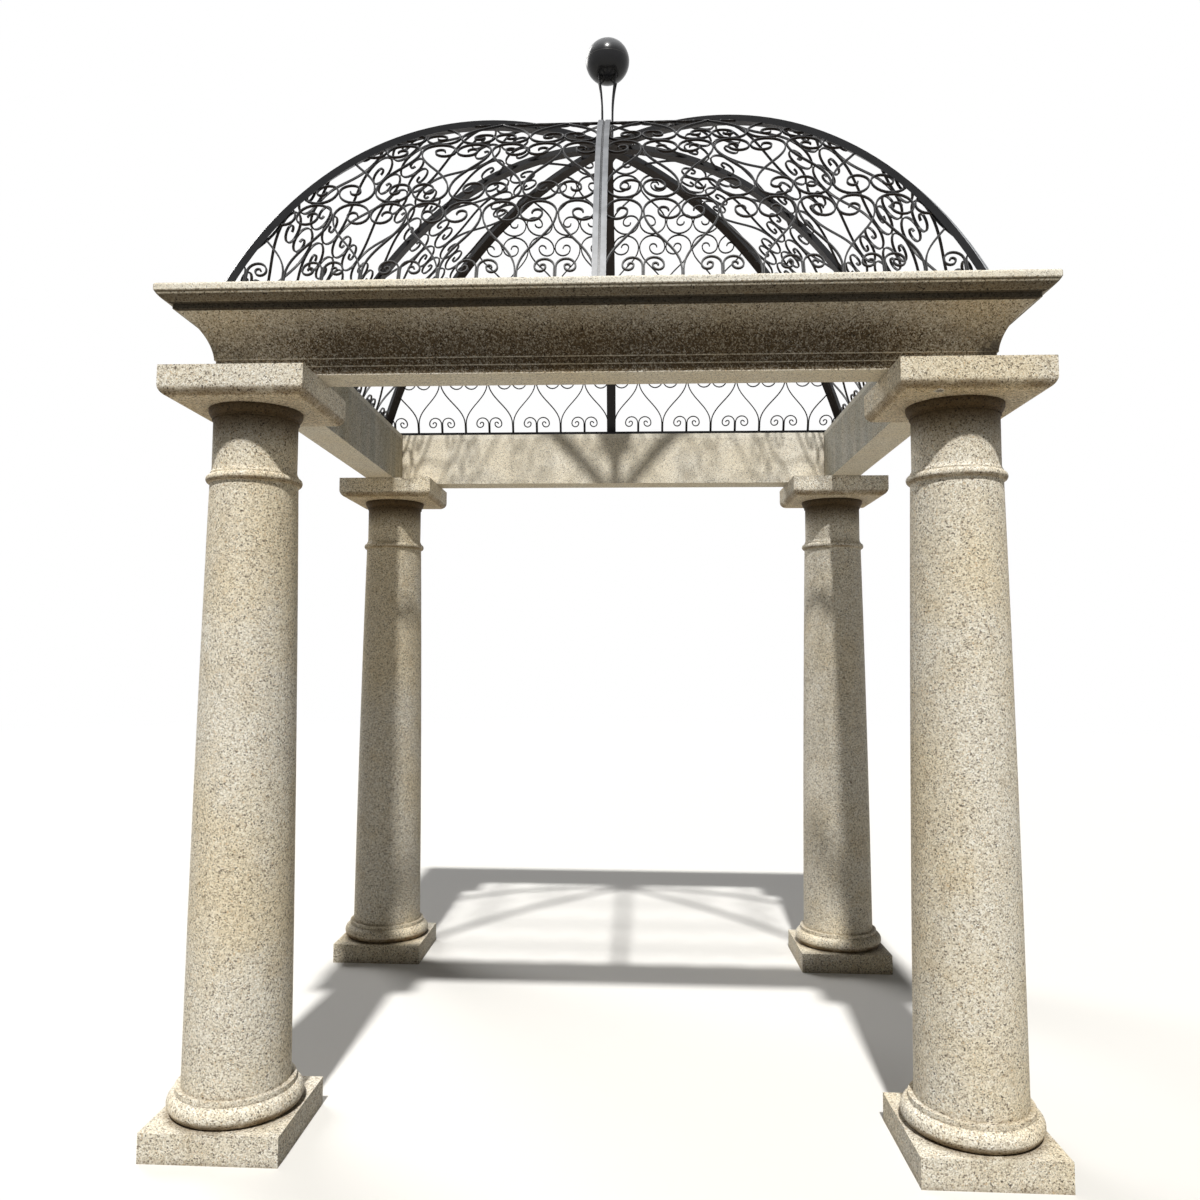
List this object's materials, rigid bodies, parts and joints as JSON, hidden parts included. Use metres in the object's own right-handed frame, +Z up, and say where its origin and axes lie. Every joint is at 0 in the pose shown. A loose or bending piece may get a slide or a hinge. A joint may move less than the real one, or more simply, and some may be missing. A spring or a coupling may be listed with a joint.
{
  "type": "stone gazebo",
  "caption": "Open garden gazebo of speckled granite: round columns with square capitals carry moulded beams and a black iron scrollwork dome with a ball on top.",
  "frame": {"origin": "on the floor, at the centre of the plan", "axes": "+Z up, +X along the longer side, to the right of a person who looks at the front; the front faces -Y"},
  "size_m": [3, 2.63, 4.543],
  "materials": {
    "granite": "honed, speckled",
    "ironwork": "gloss black",
    "ball": "high gloss black"
  },
  "bodies": {
    "root": {"front_left_base": "granite", "front_left_shaft": "granite", "front_left_capital": "granite", "front_right_base": "granite", "front_right_shaft": "granite", "front_right_capital": "granite", "back_left_base": "granite", "back_left_shaft": "granite", "back_left_capital": "granite", "back_right_base": "granite", "back_right_shaft": "granite", "back_right_capital": "granite", "front_beam": "granite", "back_beam": "granite", "left_beam": "granite", "right_beam": "granite", "front_frame_bar": "ironwork", "back_frame_bar": "ironwork", "left_frame_bar": "ironwork", "right_frame_bar": "ironwork", "front_rib": "ironwork", "back_rib": "ironwork", "left_rib": "ironwork", "right_rib": "ironwork", "front_left_rib": "ironwork", "front_right_rib": "ironwork", "back_left_rib": "ironwork", "back_right_rib": "ironwork", "front_left_scrolls": "ironwork", "front_right_scrolls": "ironwork", "back_left_scrolls": "ironwork", "back_right_scrolls": "ironwork", "left_front_scrolls": "ironwork", "left_back_scrolls": "ironwork", "right_front_scrolls": "ironwork", "right_back_scrolls": "ironwork", "apex_hub": "ironwork", "front_left_rod": "ironwork", "front_right_rod": "ironwork", "back_left_rod": "ironwork", "back_right_rod": "ironwork", "finial_ball": "ball"}
  },
  "joints": []
}
